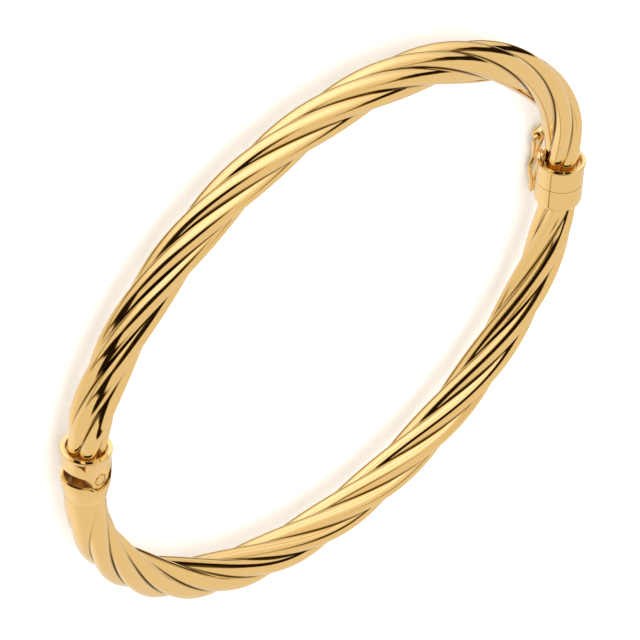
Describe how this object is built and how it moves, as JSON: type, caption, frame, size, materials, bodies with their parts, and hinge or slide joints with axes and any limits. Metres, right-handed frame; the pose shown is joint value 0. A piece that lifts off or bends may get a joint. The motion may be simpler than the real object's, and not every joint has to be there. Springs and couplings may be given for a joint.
{
  "type": "hinged twisted wire bangle",
  "caption": "Oval bangle of twisted lobed tube in two hinged halves, with round end collars, a tongue clasp and a figure-of-eight safety catch.",
  "frame": {"origin": "centre of the underside of the bangle as it lies on its side", "axes": "+X runs from the hinge to the clasp, +Y from the back half to the front half, +Z is the wrist's direction, up"},
  "size_m": [0.0682, 0.058, 0.0057],
  "materials": {
    "polished_tube": "polished yellow gold of low fineness, mirror bright on the lobes",
    "collar_gold": "polished yellow gold, turned and buffed",
    "pin_gold": "polished yellow gold pin, riveted",
    "wire_gold": "drawn and polished yellow gold wire",
    "spring_gold": "hard rolled yellow gold strip, lightly brushed"
  },
  "bodies": {
    "front_half": {"tube_front": "polished_tube", "hinge_cup_front": "collar_gold", "hinge_pin": "pin_gold", "clasp_cup_front": "collar_gold", "catch_bail": "collar_gold"},
    "back_half": {"tube_back": "polished_tube", "hinge_collar_back": "collar_gold", "clasp_collar_back": "collar_gold", "clasp_tongue": "spring_gold", "catch_peg": "wire_gold"},
    "catch": {"safety_catch": "wire_gold"}
  },
  "joints": [
    {"name": "bangle_hinge", "type": "hinge", "parent": "front_half", "child": "back_half", "pos_m": [-0.03165, 0.00055, 0.00326], "axis": [0, 0, -1], "range_deg": [0, 25]},
    {"name": "catch_swing", "type": "hinge", "parent": "front_half", "child": "catch", "pos_m": [0.03094, 0.0047, 0.0008], "axis": [0.9659, 0, -0.2588], "range_deg": [-1, 150]}
  ]
}
